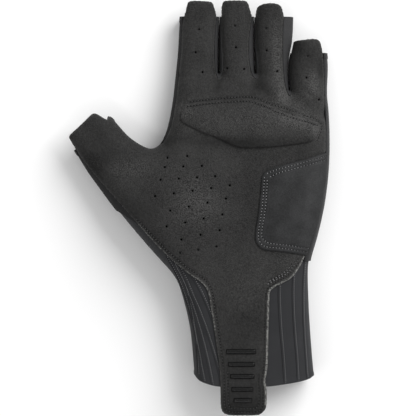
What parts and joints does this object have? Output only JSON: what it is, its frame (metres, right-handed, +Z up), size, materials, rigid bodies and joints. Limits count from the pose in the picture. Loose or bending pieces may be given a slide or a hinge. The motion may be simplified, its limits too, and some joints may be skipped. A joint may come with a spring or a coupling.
{
  "type": "cycling glove",
  "caption": "Left-hand fingerless cycling glove, palm up, with perforated leather palm, padded heel patch, long ribbed cuff and pull tab",
  "frame": {"origin": "middle of the footprint, on the surface that the glove lies on", "axes": "+Y to the fingertips, +X to the little finger, +Z up out of the palm"},
  "size_m": [0.1458, 0.2294, 0.0319],
  "materials": {
    "leather": "matt suede-like synthetic leather, fine grain",
    "patch_leather": "matt, smoother than the palm",
    "stretch_cloth": "matt fine knit stretch cloth",
    "satin_strip": "smooth dark stretch cloth with a low sheen",
    "cuff_knit": "matt ribbed elastic knit",
    "silicone": "glossy black silicone print"
  },
  "bodies": {
    "root": {"palm_panel": "leather", "back_panel": "stretch_cloth", "fourchette_index_middle": "stretch_cloth", "fourchette_middle_ring": "stretch_cloth", "fourchette_ring_little": "stretch_cloth", "index_side_strip": "stretch_cloth", "outer_side_strip": "satin_strip", "cuff": "cuff_knit", "upper_palm_pad": "leather", "heel_patch": "patch_leather", "silicone_bar_1": "silicone", "silicone_bar_2": "silicone", "silicone_bar_3": "silicone", "silicone_bar_4": "silicone", "silicone_bar_5": "silicone"}
  },
  "joints": []
}
